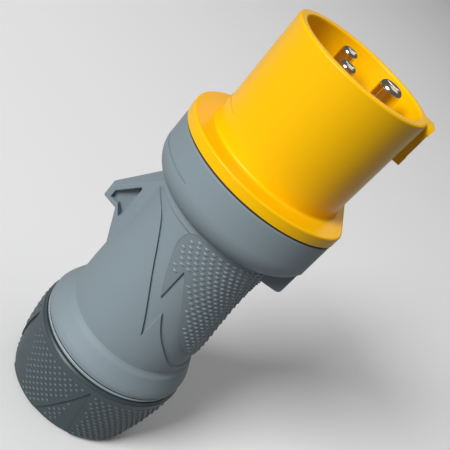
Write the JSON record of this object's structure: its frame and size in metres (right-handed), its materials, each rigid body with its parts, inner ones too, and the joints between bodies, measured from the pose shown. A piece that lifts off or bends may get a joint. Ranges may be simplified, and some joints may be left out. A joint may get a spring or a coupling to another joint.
{
  "type": "industrial plug",
  "caption": "Industrial pin-and-sleeve power plug with a keyed round shroud, a waisted grip handle with a hanging lug, and a screwed cable gland.",
  "frame": {"origin": "centre of the gland nut's rear face, on the plug's axis, where the cable goes in", "axes": "+Z along the axis from the cable end to the mouth, +X towards the shroud's key"},
  "size_m": [0.0575, 0.0562, 0.1421],
  "materials": {
    "shroud_yellow": "smooth moulded plastic with a soft sheen",
    "handle_grey": "fine-grained moulded plastic",
    "grip_grey": "soft grip material with small nubs",
    "nut_dark": "moulded plastic",
    "nut_grip_dark": "soft grip material with small nubs",
    "gasket_black": "matt",
    "seal_grey": "matt",
    "pin_brass": "turned and polished",
    "steel": "zinc plated",
    "carrier_black": "moulded thermoset plastic"
  },
  "bodies": {
    "housing": {"shroud": "shroud_yellow", "flange_gasket": "gasket_black", "earth_pin": "pin_brass", "phase_pin_1": "pin_brass", "phase_pin_2": "pin_brass", "earth_clamp_screw": "steel", "phase_1_clamp_screw": "steel", "phase_2_clamp_screw": "steel", "earth_clamp_leaf": "steel", "phase_1_clamp_leaf": "steel", "phase_2_clamp_leaf": "steel", "contact_carrier": "carrier_black", "terminal_cover": "carrier_black", "carrier_screws": "steel", "handle": "handle_grey", "grip_pad_front": "grip_grey", "grip_pad_back": "grip_grey", "lock_screw": "steel", "nut_seal_ring": "seal_grey", "clamp_cage": "nut_dark", "cable_seal": "gasket_black"},
    "gland_ring": {"thrust_ring": "nut_dark"},
    "nut": {"gland_nut": "nut_dark", "nut_grip": "nut_grip_dark"}
  },
  "joints": [
    {"name": "nut_travel", "type": "slide", "parent": "housing", "child": "gland_ring", "axis": [0, 0, -1], "range_m": [0, 0.009]},
    {"name": "nut_turn", "type": "hinge", "parent": "gland_ring", "child": "nut", "pos_m": [0, 0, 0], "axis": [0, 0, -1], "range_deg": [0, 1080]}
  ],
  "couplings": [
    {"joint": "nut_travel", "follows": "nut_turn", "m_per_rad": 0.00047746}
  ]
}
